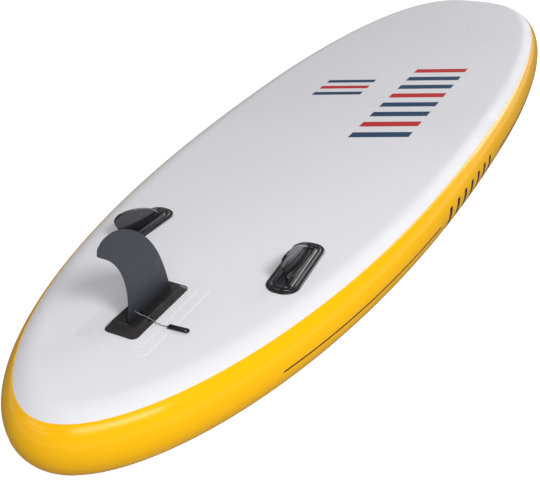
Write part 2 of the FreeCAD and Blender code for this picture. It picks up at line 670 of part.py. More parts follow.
def main():
    nodes = {}
    nodes.update(make_hull())
    nodes.update(make_threads())
    nodes.update(make_deck_pad())
    nodes.update(make_fin_box())
    nodes.update(make_centre_fin())
    nodes.update(make_key_and_cord())
    for side, name in ((-1, "left"), (1, "right")):
        base, blade = make_side_fin(side)
        nodes["side_fin_base_" + name] = base
        nodes["side_fin_" + name] = blade
    nodes.update(make_handle())
    nodes.update(make_valve())
    nodes.update(make_mast_foot())
    nodes.update(make_rings())

    os.makedirs("parts", exist_ok=True)
    for name, shape in nodes.items():
        if not shape.isValid():
            print("not valid:", name)
        shape.exportStep("parts/%s.step" % name)
    print(len(nodes), "nodes")


main()
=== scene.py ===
"""Looks of an inflatable windsurf board that lies deck down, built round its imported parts.

Metres. +Y points to the nose, +X to the board's right as it lies, +Z up, the ground at z = 0.
"""
import bmesh
import bpy
import json
import math
import numpy as np
from mathutils import Matrix, Vector


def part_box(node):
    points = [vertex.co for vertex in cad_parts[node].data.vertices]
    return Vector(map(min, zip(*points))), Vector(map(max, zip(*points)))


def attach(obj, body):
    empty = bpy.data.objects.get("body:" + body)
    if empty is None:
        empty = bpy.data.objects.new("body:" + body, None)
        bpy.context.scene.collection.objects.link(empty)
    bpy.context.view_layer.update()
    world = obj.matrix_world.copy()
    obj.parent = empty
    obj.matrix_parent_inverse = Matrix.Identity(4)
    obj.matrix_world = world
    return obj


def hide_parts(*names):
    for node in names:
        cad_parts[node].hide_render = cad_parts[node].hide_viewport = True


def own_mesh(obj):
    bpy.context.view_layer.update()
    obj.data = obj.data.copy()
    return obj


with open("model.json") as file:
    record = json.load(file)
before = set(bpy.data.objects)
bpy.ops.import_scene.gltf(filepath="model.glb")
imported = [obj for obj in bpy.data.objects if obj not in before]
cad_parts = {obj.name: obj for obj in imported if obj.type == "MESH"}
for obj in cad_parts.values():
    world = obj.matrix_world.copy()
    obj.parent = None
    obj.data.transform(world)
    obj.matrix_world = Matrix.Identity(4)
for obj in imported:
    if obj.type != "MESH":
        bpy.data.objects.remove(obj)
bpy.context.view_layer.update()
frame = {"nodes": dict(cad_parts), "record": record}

# Board
DECK_Z = 0.008
THICKNESS = 0.150
RAIL_RADIUS = THICKNESS / 2
MIDDLE_Z = DECK_Z + RAIL_RADIUS
BOTTOM_Z = DECK_Z + THICKNESS
BAND_THICKNESS = 0.001
BAND_HALF_HEIGHT = 0.060
WRAP_THICKNESS = 0.0008
WRAP_HALF_WIDTH = 0.070
WRAP_HALF_HEIGHT = 0.052
SKIN_WALL = 0.0009
BAND_SINK = 0.0003
NOSE_POLES = [(0.430, 0.186), (0.430, 0.739), (0.347, 1.409), (0.204, 1.500), (0.0, 1.500)]
TAIL_POLES = [(0.430, 0.186), (0.430, -0.521), (0.387, -1.031), (0.218, -1.500), (0.0, -1.500)]

# Deck pad
PAD_SCALE = (1 - 0.105 / 0.430, 1 - 0.105 / 1.500)
PAD_CORNER = 0.018
PAD_BEVEL = 0.0025
GROOVE_PITCH = 0.012
GROOVE_DEPTH = 0.0013
PAD_BORDER = 0.014

# Printed bars: across from and to, along from and to, pitch
HULL_BARS = ((0.045, 0.205, -0.150, 0.540, 0.0863), (-0.195, -0.050, 0.118, 0.305, 0.0623))
HULL_BAR_SLANT = 0.45
HULL_BAR_SHARE = 0.46
PRINT_DEPTH = 0.004
RAIL_LINES = ((-1.115, -0.450), (0.080, 0.900))
RAIL_LINE_HALF = 0.002
RAIL_BARS = (-0.395, 0.010)
RAIL_BAR_HALF = 0.021
RAIL_BAR_SLANT = 0.5
RAIL_BAR_PITCH = 0.058
RAIL_BAR_SHARE = 0.34

# Fins and the key, as in the part
FIN_BOX_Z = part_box("fin_box")[0].z
FIN_SECTIONS = [
    ((-1.055, 0.164), (-1.203, 0.164), 0.0074),
    ((-1.061, 0.197), (-1.195, 0.199), 0.0070),
    ((-1.070, 0.231), (-1.192, 0.230), 0.0064),
    ((-1.084, 0.269), (-1.195, 0.262), 0.0058),
    ((-1.106, 0.306), (-1.203, 0.288), 0.0052),
    ((-1.133, 0.336), (-1.215, 0.310), 0.0046),
    ((-1.165, 0.360), (-1.228, 0.326), 0.0040),
    ((-1.200, 0.375), (-1.240, 0.337), 0.0034),
    ((-1.232, 0.376), (-1.250, 0.345), 0.0028),
    ((-1.252, 0.367), (-1.257, 0.352), 0.0022),
]
SIDE_FIN_PLACE = (0.207, -0.873)
SIDE_FIN_TOE = math.radians(4)
SIDE_BASE = (0.076, 0.213, 0.034)
SIDE_FIN_SECTIONS = [
    ((0.076, 0.003), (-0.056, 0.003), 0.0190),
    ((0.069, 0.0115), (-0.061, 0.012), 0.0146),
    ((0.059, 0.022), (-0.066, 0.024), 0.0130),
    ((0.034, 0.038), (-0.073, 0.038), 0.0118),
    ((0.002, 0.052), (-0.078, 0.048), 0.0104),
    ((-0.030, 0.0615), (-0.080, 0.055), 0.0090),
    ((-0.056, 0.0655), (-0.079, 0.060), 0.0070),
]
SIDE_FIN_EDGES = (0.72, 0.24)
FIN_EDGES = (0.20, 0.20)
FOOT_SIZE = (0.0212, 0.148, 0.0032)
FOOT_MIDDLE_Y = -1.129
FOOT_LOW = FIN_BOX_Z + 0.0024
FOOT_EDGE = 0.0004
KEY_PLACE = (0.096, -1.169)
KEY_TURN = math.radians(4)
KEY_SIZE = (0.046, 0.012, 0.0032)
KEY_HOLE = 0.0028
KEY_HOLE_FROM_END = 0.007
KEY_LOW = FIN_BOX_Z + 0.0004
CORD_RADIUS = 0.001
CORD_ROUTE = [
    (0.0014, -1.1785, 0.1805),
    (0.0090, -1.1805, 0.1803),
    (0.0180, -1.1806, 0.1784),
    (0.0275, -1.1786, 0.1762),
    (0.0360, -1.1764, 0.1714),
    (0.0435, -1.1746, 0.1652),
    (0.0520, -1.1730, 0.1618),
    (0.0610, -1.1734, 0.1609),
    (0.0680, -1.1722, 0.1610),
    (0.0730, -1.1708, 0.1614),
]

# D-rings: place and the way that each points
RING_PLACES = {
    "front_left": (-0.150, 1.010, -1),
    "front_right": (0.150, 1.010, -1),
    "rear_left": (-0.190, 0.730, 1),
    "rear_right": (0.190, 0.730, 1),
    "tow": (0.0, 1.372, 1),
    "leash": (0.0, -1.372, -1),
}
RING_HALF = 0.015
RING_WIRE = 0.002
RING_Z = 0.00374

# Handle stitches
STITCHED = (0.084, 0.132)
STITCHED_HALF_WIDTH = 0.015
STITCH_PITCH = 0.0034
STITCH_RADIUS = 0.0004

# Camera
CAMERA_PLACE = (0.836, -2.164, 1.087 + DECK_Z)
CAMERA_YAW = math.radians(-28.16)
CAMERA_PITCH = math.radians(-31.09)
CAMERA_ROLL = math.radians(-1.95)
FOCAL_PIXELS = 789.3
PICTURE_WIDTH = 540


# Camera and light

def make_camera():
    """The photograph's camera: yaw from +Y, pitch from the level, then roll about the view."""
    yaw, pitch, roll = CAMERA_YAW, CAMERA_PITCH, CAMERA_ROLL
    look = Vector((math.sin(yaw) * math.cos(pitch), math.cos(yaw) * math.cos(pitch), math.sin(pitch)))
    level = look.cross(Vector((0, 0, 1))).normalized()
    rise = level.cross(look)
    right = level * math.cos(roll) + rise * math.sin(roll)
    up = rise * math.cos(roll) - level * math.sin(roll)
    data = bpy.data.cameras.new("camera")
    data.sensor_fit = "HORIZONTAL"
    data.sensor_width = 36.0
    data.lens = data.sensor_width * FOCAL_PIXELS / PICTURE_WIDTH
    data.clip_start = 0.05
    data.clip_end = 60
    camera = bpy.data.objects.new("camera", data)
    turn = Matrix((right, up, -look)).transposed().to_4x4()
    camera.matrix_world = Matrix.Translation(CAMERA_PLACE) @ turn
    bpy.context.scene.collection.objects.link(camera)
    bpy.context.scene.camera = camera


def make_lamp(name, place, aim, size, power, mirrored=True):
    data = bpy.data.lights.new(name, "AREA")
    data.shape = "RECTANGLE"
    data.size, data.size_y = size
    data.energy = power
    lamp = bpy.data.objects.new(name, data)
    lamp.visible_glossy = mirrored
    lamp.location = place
    lamp.rotation_euler = (Vector(aim) - Vector(place)).to_track_quat("-Z", "Y").to_euler()
    bpy.context.scene.collection.objects.link(lamp)


class Tree:
    """Short ways to add nodes to a material's or a group's tree."""

    def __init__(self, tree):
        self.tree = tree

    def add(self, kind, inputs=None, **settings):
        node = self.tree.nodes.new(kind)
        for name, value in settings.items():
            setattr(node, name, value)
        for name, value in (inputs or {}).items():
            self.put(node.inputs[name], value)
        return node

    def put(self, socket, value):
        if isinstance(value, bpy.types.NodeSocket):
            self.tree.links.new(value, socket)
        else:
            socket.default_value = value

    def math(self, operation, a, b=0.0, clamp=False):
        node = self.add("ShaderNodeMath", {0: a, 1: b}, operation=operation, use_clamp=clamp)
        return node.outputs[0]

    def plus(self, a, b):
        return self.math("ADD", a, b)

    def minus(self, a, b, clamp=False):
        return self.math("SUBTRACT", a, b, clamp)

    def times(self, a, b):
        return self.math("MULTIPLY", a, b)

    def larger(self, a, b):
        return self.math("MAXIMUM", a, b)

    def mix(self, factor, a, b):
        node = self.add("ShaderNodeMix", {0: factor, 6: a, 7: b}, data_type="RGBA")
        return node.outputs[2]

    def place(self):
        """The object's own X, Y and Z, in metres."""
        vector = self.add("ShaderNodeTexCoord").outputs["Object"]
        axes = self.add("ShaderNodeSeparateXYZ", {"Vector": vector}).outputs
        return vector, axes["X"], axes["Y"], axes["Z"]

    def noise(self, vector, scale, detail=2.0, roughness=0.5):
        node = self.add(
            "ShaderNodeTexNoise",
            {"Vector": vector, "Scale": scale, "Detail": detail, "Roughness": roughness},
        )
        return node.outputs["Fac"]

    def ramp(self, value, low, high, to_low=0.0, to_high=1.0):
        node = self.add(
            "ShaderNodeMapRange", {"Value": value, 1: low, 2: high, 3: to_low, 4: to_high}, clamp=True
        )
        return node.outputs["Result"]

    def within(self, value, low, high):
        """1 where low < value < high."""
        above = self.math("GREATER_THAN", value, low)
        return self.times(above, self.math("LESS_THAN", value, high))

    def bump(self, height, strength, distance):
        node = self.add("ShaderNodeBump", {"Height": height, "Strength": strength, "Distance": distance})
        return node.outputs["Normal"]

    def group(self, name, inputs=None):
        node = self.tree.nodes.new("ShaderNodeGroup")
        node.node_tree = bpy.data.node_groups[name]
        for key, value in (inputs or {}).items():
            self.put(node.inputs[key], value)
        return node.outputs


def make_group(name, inputs, outputs, build):
    """A shader node group: build gets the tree and its inputs, and returns its outputs by name."""
    tree = bpy.data.node_groups.new(name, "ShaderNodeTree")
    for label, value in inputs.items():
        socket = tree.interface.new_socket(label, in_out="INPUT", socket_type="NodeSocketFloat")
        socket.default_value = value
    for label in outputs:
        kind = "NodeSocketColor" if label.endswith("Colour") else "NodeSocketFloat"
        tree.interface.new_socket(label, in_out="OUTPUT", socket_type=kind)
    entry = tree.nodes.new("NodeGroupInput")
    leave = tree.nodes.new("NodeGroupOutput")
    helper = Tree(tree)
    for label, value in build(helper, entry.outputs).items():
        helper.put(leave.inputs[label], value)


def build_coated_fabric(tree, given):
    """Coated fabric: a fine grain from the cloth inside, soft puckers, and a slow change of tone."""
    vector = tree.place()[0]
    grain = tree.noise(vector, given["Grain"], 1.0)
    pucker = tree.noise(vector, given["Pucker"], 2.0)
    relief = tree.plus(tree.times(grain, 0.25), pucker)
    slow = tree.noise(vector, 2.2, 3.0)
    quick = tree.noise(vector, 55.0, 4.0, 0.6)
    tone = tree.plus(tree.times(slow, 0.65), tree.times(quick, 0.35))
    return {"Relief": relief, "Tone": tone}


def build_handling_marks(tree, given):
    """Marks of use: long thin scratches, and dull dusty patches."""
    vector = tree.place()[0]
    turned = {"Vector": vector, "Scale": (1.0, 9.0, 1.0), "Rotation": (0.2, 0.1, 0.6)}
    stretch = tree.add("ShaderNodeMapping", turned).outputs["Vector"]
    lines = tree.noise(stretch, given["Scratch Scale"], 6.0, 0.7)
    scratch = tree.ramp(tree.math("ABSOLUTE", tree.minus(lines, 0.5)), 0.0, 0.012, 1.0, 0.0)
    where = tree.ramp(tree.noise(vector, 14.0, 2.0), 0.5, 0.68)
    scratch = tree.times(scratch, where)
    dust = tree.ramp(tree.noise(vector, given["Dust Scale"], 5.0, 0.65), 0.42, 0.75)
    return {"Scratch": scratch, "Dust": dust}


def build_moulded_grain(tree, given):
    """Moulded plastic: a fine even grain and slight flow waves."""
    vector = tree.place()[0]
    fine = tree.noise(vector, given["Grain"], 2.0)
    flow = tree.noise(vector, 38.0, 2.0)
    relief = tree.plus(fine, tree.times(flow, 0.8))
    return {"Relief": relief, "Tone": flow}


def build_woven(tree, given):
    """Plain weave on the piece's own UV map, in metres: warp and weft cross over and under."""
    uv = tree.add("ShaderNodeUVMap", uv_map="UVMap").outputs["UV"]
    axes = tree.add("ShaderNodeSeparateXYZ", {"Vector": uv}).outputs
    across = tree.math("SINE", tree.times(axes["X"], given["Threads"]))
    along = tree.math("SINE", tree.times(axes["Y"], given["Threads"]))
    warp = tree.math("ABSOLUTE", across)
    weft = tree.math("ABSOLUTE", along)
    over = tree.math("GREATER_THAN", tree.times(across, along), 0)
    height = tree.add("ShaderNodeMix", {0: over, 2: warp, 3: weft}, data_type="FLOAT").outputs[0]
    return {"Relief": height}


def build_hull_stripes(tree, given):
    """Plain slanted bars in navy with one in three red, and a short block of the same beside them."""
    _, x, y, z = tree.place()
    on_top = tree.math("GREATER_THAN", z, BOTTOM_Z - PRINT_DEPTH)
    navy = 0.0
    red = 0.0
    for low_x, high_x, low_y, high_y, pitch in HULL_BARS:
        from_middle = tree.minus(x, (low_x + high_x) / 2)
        leaning = tree.minus(y, tree.times(from_middle, HULL_BAR_SLANT))
        steps = tree.math("DIVIDE", tree.minus(leaning, low_y), pitch)
        bar = tree.math("LESS_THAN", tree.math("FRACT", steps), HULL_BAR_SHARE)
        inside = tree.times(tree.within(x, low_x, high_x), tree.within(leaning, low_y, high_y))
        bar = tree.times(tree.times(bar, inside), on_top)
        turn = tree.math("MODULO", tree.math("FLOOR", steps), 3.0)
        second = tree.within(turn, 0.5, 1.5)
        bar_red = tree.times(bar, second)
        navy = tree.larger(navy, tree.minus(bar, bar_red, True))
        red = tree.larger(red, bar_red)
    return {"Navy": navy, "Red": red}


def build_rail_stripes(tree, given):
    """Two thin lines along the right rail with a short run of plain slanted bars between them."""
    _, x, y, z = tree.place()
    right = tree.math("GREATER_THAN", x, 0.1)
    height = tree.minus(z, MIDDLE_Z)
    thin = tree.within(height, -RAIL_LINE_HALF, RAIL_LINE_HALF)
    runs = tree.larger(*(tree.within(y, low, high) for low, high in RAIL_LINES))
    line = tree.times(thin, runs)
    leaning = tree.minus(y, tree.times(height, RAIL_BAR_SLANT))
    steps = tree.math("DIVIDE", tree.minus(leaning, RAIL_BARS[0]), RAIL_BAR_PITCH)
    bar = tree.math("LESS_THAN", tree.math("FRACT", steps), RAIL_BAR_SHARE)
    tall = tree.within(height, -RAIL_BAR_HALF, RAIL_BAR_HALF)
    area = tree.times(tree.within(leaning, *RAIL_BARS), tall)
    bars = tree.times(bar, area)
    return {"Line": tree.times(tree.larger(line, bars), right)}


def make_groups():
    coats = {"Grain": 900.0, "Pucker": 30.0}
    marks = {"Scratch Scale": 30.0, "Dust Scale": 20.0}
    make_group("coated_fabric", coats, ["Relief", "Tone"], build_coated_fabric)
    make_group("handling_marks", marks, ["Scratch", "Dust"], build_handling_marks)
    make_group("moulded_grain", {"Grain": 1200.0}, ["Relief", "Tone"], build_moulded_grain)
    make_group("woven", {"Threads": 1800.0}, ["Relief"], build_woven)
    make_group("hull_stripes", {}, ["Navy", "Red"], build_hull_stripes)
    make_group("rail_stripes", {}, ["Line"], build_rail_stripes)


def start_material(name, roughness=0.5, metallic=0.0, **sockets):
    """A material with a Principled shader. Even values go on the shader's own sockets."""
    material = bpy.data.materials.new(name)
    material.use_nodes = True
    shader = material.node_tree.nodes["Principled BSDF"]
    shader.inputs["Roughness"].default_value = roughness
    shader.inputs["Metallic"].default_value = metallic
    for label, value in sockets.items():
        shader.inputs[label.replace("_", " ")].default_value = value
    return material, Tree(material.node_tree), shader.inputs


def coated(name, dark, light, roughness, shine, stripes=None, grain=900.0, pucker=30.0, dirt=0.15):
    """Coated cloth: colour between dark and light by its tone, grime, and an optional print."""
    material, tree, shader = start_material(name, roughness, Specular_IOR_Level=shine)
    cloth = tree.group("coated_fabric", {"Grain": grain, "Pucker": pucker})
    marks = tree.group("handling_marks", {"Scratch Scale": 12.0, "Dust Scale": 9.0})
    colour = tree.mix(cloth["Tone"], (*dark, 1), (*light, 1))
    grime = tuple(0.72 * channel for channel in dark)
    colour = tree.mix(tree.times(marks["Dust"], dirt), colour, (*grime, 1))
    if stripes == "hull_stripes":
        prints = tree.group("hull_stripes")
        colour = tree.mix(prints["Navy"], colour, (0.010, 0.048, 0.120, 1))
        colour = tree.mix(prints["Red"], colour, (0.520, 0.016, 0.020, 1))
    if stripes == "rail_stripes":
        colour = tree.mix(tree.group("rail_stripes")["Line"], colour, (0.035, 0.008, 0.012, 1))
    tree.put(shader["Base Color"], colour)
    rough = tree.ramp(cloth["Tone"], 0.3, 0.7, roughness - 0.05, roughness + 0.07)
    rough = tree.plus(rough, tree.times(marks["Dust"], 0.08))
    tree.put(shader["Roughness"], rough)
    tree.put(shader["Normal"], tree.bump(cloth["Relief"], 0.12, 0.0006))
    return material


def moulded(
    name, dark, light, roughness, dusty, dust=0.25, strength=0.25, scratch=0.25, foot=None, **sockets
):
    """Moulded plastic or rubber with grain, fine scratches and a little dust.

    foot gives two heights of painted shade: mostly black below the first, the colour itself above the
    second.
    """
    material, tree, shader = start_material(name, roughness, **sockets)
    plastic = tree.group("moulded_grain")
    marks = tree.group("handling_marks", {"Scratch Scale": 45.0, "Dust Scale": 32.0})
    colour = tree.mix(plastic["Tone"], (*dark, 1), (*light, 1))
    colour = tree.mix(tree.times(marks["Dust"], dust), colour, (*dusty, 1))
    colour = tree.mix(tree.times(marks["Scratch"], scratch), colour, (*dusty, 1))
    if foot:
        # Painted shade: the colour darkens to near black towards the foot, where the blade meets the box.
        shade = tree.ramp(tree.place()[3], foot[0], foot[1], 0.6, 0.0)
        colour = tree.mix(shade, colour, (0.004, 0.004, 0.006, 1))
    tree.put(shader["Base Color"], colour)
    rough = tree.plus(tree.times(marks["Dust"], 0.16), roughness)
    rough = tree.plus(rough, tree.times(marks["Scratch"], 0.12))
    tree.put(shader["Roughness"], rough)
    tree.put(shader["Normal"], tree.bump(plastic["Relief"], strength, 0.0003))
    return material


def woven_cloth(name, dark, light, threads, roughness=0.75):
    """Webbing or braid: a plain weave that follows the piece."""
    material, tree, shader = start_material(name, roughness, Sheen_Weight=0.25, Sheen_Roughness=0.5)
    weave = tree.group("woven", {"Threads": threads})["Relief"]
    tree.put(shader["Base Color"], tree.mix(weave, (*dark, 1), (*light, 1)))
    tree.put(shader["Roughness"], tree.ramp(weave, 0.0, 1.0, roughness + 0.12, roughness - 0.08))
    tree.put(shader["Normal"], tree.bump(weave, 0.6, 0.0004))
    return material


def foam(name, dark, light):
    """Closed-cell foam: speckle, fine pores and a dull bloom."""
    material, tree, shader = start_material(name, 0.85)
    vector = tree.place()[0]
    cells = tree.add("ShaderNodeTexVoronoi", {"Vector": vector, "Scale": 650.0}).outputs["Distance"]
    speckle = tree.ramp(tree.noise(vector, 260.0, 3.0, 0.7), 0.4, 0.62)
    marks = tree.group("handling_marks", {"Scratch Scale": 20.0, "Dust Scale": 10.0})
    colour = tree.mix(speckle, (*dark, 1), (*light, 1))
    colour = tree.mix(tree.times(marks["Dust"], 0.2), colour, (0.30, 0.30, 0.29, 1))
    tree.put(shader["Base Color"], colour)
    tree.put(shader["Roughness"], tree.ramp(speckle, 0.0, 1.0, 0.78, 0.92))
    tree.put(shader["Normal"], tree.bump(cells, 0.35, 0.0005))
    return material


def polished_steel(name):
    """Drawn steel wire: fine hairlines and slight smudges."""
    material, tree, shader = start_material(name, 0.22, 1.0)
    vector = tree.place()[0]
    hair = tree.add("ShaderNodeMapping", {"Vector": vector, "Scale": (1.0, 14.0, 14.0)}).outputs["Vector"]
    lines = tree.noise(hair, 120.0, 4.0, 0.7)
    smudge = tree.noise(vector, 90.0, 3.0)
    tree.put(shader["Base Color"], tree.mix(smudge, (0.52, 0.53, 0.55, 1), (0.74, 0.74, 0.75, 1)))
    tree.put(shader["Roughness"], tree.ramp(lines, 0.3, 0.7, 0.16, 0.34))
    tree.put(shader["Normal"], tree.bump(lines, 0.15, 0.0002))
    return material


def make_materials():
    white = (0.715, 0.708, 0.745), (0.765, 0.758, 0.790)
    yellow = (0.900, 0.455, 0.000), (0.960, 0.510, 0.000)
    return {
        "white_pvc": coated("white_hull", *white, 0.42, 0.4, "hull_stripes", dirt=0.05),
        "patch_pvc": coated("white_patch", *white, 0.38, 0.5, grain=700.0, dirt=0.05),
        "yellow_pvc": coated("yellow_rail", *yellow, 0.13, 0.42, "rail_stripes", pucker=14.0, dirt=0.0),
        "grey_pvc": coated("grey_patch", (0.11, 0.115, 0.12), (0.16, 0.165, 0.17), 0.55, 0.4, dirt=0.2),
        "thread": coated("thread_bundle", (0.66, 0.66, 0.62), (0.78, 0.78, 0.74), 0.8, 0.4, grain=2500.0),
        "foam": foam("deck_foam", (0.045, 0.050, 0.058), (0.085, 0.092, 0.102)),
        "webbing": woven_cloth("black_webbing", (0.006, 0.006, 0.007), (0.035, 0.035, 0.038), 1800.0),
        # The centre fin's plastic is painted darker towards its foot, as painted shade.
        "fin_grey": moulded(
            "fin_plastic", (0.038, 0.043, 0.056), (0.048, 0.054, 0.070), 0.50, (0.10, 0.10, 0.11),
            dust=0.08, scratch=0.10, strength=0.15, foot=(0.168, 0.245), Specular_IOR_Level=0.45,
        ),
        "box_black": moulded(
            "box_plastic", (0.013, 0.012, 0.013), (0.022, 0.020, 0.021), 0.27, (0.10, 0.095, 0.09),
            dust=0.08, scratch=0.15, strength=0.12, Specular_IOR_Level=0.5,
        ),
        "gloss_black": moulded(
            "side_fin_plastic", (0.005, 0.005, 0.007), (0.009, 0.009, 0.011), 0.34, (0.08, 0.075, 0.065),
            dust=0.04, strength=0.02, scratch=0.10, Specular_IOR_Level=0.3,
            Coat_Weight=1.0, Coat_Roughness=0.05, Coat_IOR=1.6,
        ),
        "key_plastic": moulded(
            "key_plastic", (0.010, 0.009, 0.011), (0.018, 0.016, 0.019), 0.36, (0.09, 0.09, 0.09),
            dust=0.06, scratch=0.15, Specular_IOR_Level=0.4,
        ),
        "cord": woven_cloth("key_cord", (0.050, 0.050, 0.052), (0.260, 0.260, 0.265), 4200.0, 0.5),
        "valve_plastic": moulded(
            "valve_plastic", (0.030, 0.032, 0.036), (0.050, 0.053, 0.058), 0.45, (0.16, 0.16, 0.15),
            dust=0.2,
        ),
        "seal_rubber": moulded(
            "seal_rubber", (0.010, 0.010, 0.010), (0.02, 0.02, 0.02), 0.7, (0.08, 0.08, 0.08),
        ),
        "stainless": polished_steel("stainless_wire"),
    }


# Surfaces worked out on grids

def grid_faces(rows, columns, wrap_rows=False, wrap_columns=False):
    """Quads between neighbouring grid points, one array row each."""
    row = np.arange(rows if wrap_rows else rows - 1)[:, None] * columns
    column = np.arange(columns if wrap_columns else columns - 1)[None, :]
    next_row = (row + columns) % (rows * columns)
    next_column = (column + 1) % columns
    corners = row + column, row + next_column, next_row + next_column, next_row + column
    return np.stack(np.broadcast_arrays(*corners), -1).reshape(-1, 4)


def start_mending(mesh):
    clean = bmesh.new()
    clean.from_mesh(mesh)
    return clean


def end_mending(clean, mesh):
    """Turns the faces outwards and writes the mended mesh back."""
    bmesh.ops.recalc_face_normals(clean, faces=clean.faces)
    clean.to_mesh(mesh)
    clean.free()


def add_piece(name, mesh, smooth=True, sharp=None):
    """An object for a finished mesh: its faces smooth, and edges past the angle sharp left sharp."""
    if smooth:
        mesh.polygons.foreach_set("use_smooth", np.ones(len(mesh.polygons), bool))
    if sharp:
        mesh.set_sharp_from_angle(angle=math.radians(sharp))
    piece = bpy.data.objects.new(name, mesh)
    bpy.context.scene.collection.objects.link(piece)
    return piece


def make_surface(
    name, points, wrap_rows=False, wrap_columns=False, caps=False, uv=None, sharp=None, thickness=0
):
    """A mesh from a grid of points. Caps close the first and last rows of a tube with one face each.

    uv gives two values for each grid point. Doubles at poles and seams are merged, and faces
    are turned outwards. thickness gives an open sheet a wall on its inner side.
    """
    rows, columns = points.shape[:2]
    faces = grid_faces(rows, columns, wrap_rows, wrap_columns).tolist()
    if caps:
        faces.append(list(range(columns))[::-1])
        faces.append([(rows - 1) * columns + i for i in range(columns)])
    mesh = bpy.data.meshes.new(name)
    mesh.from_pydata(points.reshape(-1, 3).tolist(), [], faces)
    if uv is not None:
        layer = mesh.uv_layers.new(name="UVMap")
        index = np.empty(len(mesh.loops), int)
        mesh.loops.foreach_get("vertex_index", index)
        layer.data.foreach_set("uv", uv.reshape(-1, 2)[index].astype(np.float32).ravel())
    clean = start_mending(mesh)
    bmesh.ops.remove_doubles(clean, verts=clean.verts, dist=1e-6)
    bmesh.ops.dissolve_degenerate(clean, edges=clean.edges, dist=1e-7)
    end_mending(clean, mesh)
    piece = add_piece(name, mesh, sharp=sharp)
    if thickness:
        wall = piece.modifiers.new("wall", "SOLIDIFY")
        wall.thickness = thickness
        wall.offset = -1
    return piece


def dress(piece, body, slot, *nodes):
    """Gives a piece its finish and its body, and hides the nodes that it stands for."""
    piece.data.materials.clear()
    piece.data.materials.append(finishes[slot])
    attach(piece, body)
    if nodes:
        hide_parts(*nodes)
    return piece


def bezier(poles, t):
    """Bernstein form of one curve through its end poles."""
    poles = np.array(poles)
    order = len(poles) - 1
    weights = [math.comb(order, k) * t ** k * (1 - t) ** (order - k) for k in range(order + 1)]
    return np.stack(weights, -1) @ poles


def half_outline(count):
    """The right half of the outline from tail tip to nose tip: even steps, with outward normals."""
    t = np.linspace(0, 1, 800)
    tail = bezier(TAIL_POLES, t)[::-1]
    nose = bezier(NOSE_POLES, t)[1:]
    line = np.concatenate([tail, nose])
    length = np.concatenate([[0], np.cumsum(np.hypot(*np.diff(line, axis=0).T))])
    even = np.linspace(0, length[-1], count)
    points = np.stack([np.interp(even, length, line[:, k]) for k in (0, 1)], -1)
    along = np.gradient(points, axis=0)
    along[0] = (1, 0)
    along[-1] = (-1, 0)
    along /= np.linalg.norm(along, axis=1)[:, None]
    return points, np.stack([along[:, 1], -along[:, 0]], -1)


def rail_points(points, normals, inset, angles):
    """Points of the round rail: outline moved in by radius, then out along the normal by its cosine."""
    radius = RAIL_RADIUS
    reach = radius * np.cos(angles) - radius - inset
    flat = points[:, None] + normals[:, None] * reach[None, :, None]
    height = (MIDDLE_Z + radius * np.sin(angles))[None, :, None]
    return np.concatenate([flat, np.broadcast_to(height, (len(points), len(angles), 1))], -1)


def make_faces():
    """Bottom and deck: at each station the rail's curve, the flat across, and the curve again."""
    points, normals = half_outline(420)
    angles = np.linspace(0, math.pi / 2, 26)
    curve = rail_points(points, normals, BAND_THICKNESS, angles)
    across = np.linspace(1, -1, 40)[1:-1]
    flat = curve[:, -1:] * np.stack([across, np.ones(38), np.ones(38)], -1)[None]
    other = curve[:, ::-1] * np.array([-1, 1, 1])
    sheet = np.concatenate([curve, flat, other], 1)
    deck = sheet * np.array([1, 1, -1]) + np.array([0, 0, 2 * MIDDLE_Z])
    bottom = make_surface("bottom_face", sheet, thickness=SKIN_WALL)
    face_up(bottom, 1)
    dress(bottom, "board", "white_pvc", "bottom_skin")
    deck = make_surface("deck_face", deck, thickness=SKIN_WALL)
    face_up(deck, -1)
    dress(deck, "board", "white_pvc", "deck_skin")


def face_up(piece, way):
    """Turns an open sheet so that its middle faces up (1) or down (-1)."""
    mesh = piece.data
    total = sum(polygon.normal.z * polygon.area for polygon in mesh.polygons)
    if total * way < 0:
        mesh.flip_normals()


def band_surface(name, points, normals, outside, inside, limit):
    """A strip over the rail: outer arc, lip, inner arc and lip, carried along the outline."""
    angles = np.linspace(-limit, limit, 40)
    outer = rail_points(points, normals, outside, angles)
    inner = rail_points(points, normals, inside, angles[::-1])
    lip_angle = limit + 0.4 * BAND_THICKNESS / RAIL_RADIUS
    lips = rail_points(points, normals, (outside + inside) / 2, np.array([lip_angle, -lip_angle]))
    ring = np.concatenate([outer, lips[:, :1], inner, lips[:, 1:]], 1)
    return make_surface(name, ring, wrap_columns=True, caps=True, sharp=50)


def make_bands():
    """The yellow strips over the rail and the short wraps that cover their joints."""
    points, normals = half_outline(520)
    limit = math.asin(BAND_HALF_HEIGHT / RAIL_RADIUS)
    for side, name in ((1, "right"), (-1, "left")):
        mirror = np.array([side, 1])
        line, ways = points * mirror, normals * mirror
        band = band_surface("rail_" + name, line, ways, 0, BAND_THICKNESS + BAND_SINK, limit)
        dress(band, "board", "yellow_pvc", "rail_band_" + name)
    limit = math.asin(WRAP_HALF_HEIGHT / RAIL_RADIUS)
    for name, keep in (("tail", points[:, 1] < 0), ("nose", points[:, 1] > 0)):
        near = keep & (points[:, 0] < WRAP_HALF_WIDTH)
        half, outward = points[near], normals[near]
        if name == "nose":
            half, outward = half[::-1], outward[::-1]
        mirror = np.array([-1, 1])
        both = np.concatenate([half[::-1] * mirror, half[1:]])
        ways = np.concatenate([outward[::-1] * mirror, outward[1:]])
        wrap = band_surface(name + "_wrap", both, ways, -WRAP_THICKNESS, BAND_SINK, limit)
        dress(wrap, "board", "yellow_pvc", name + "_wrap_patch")


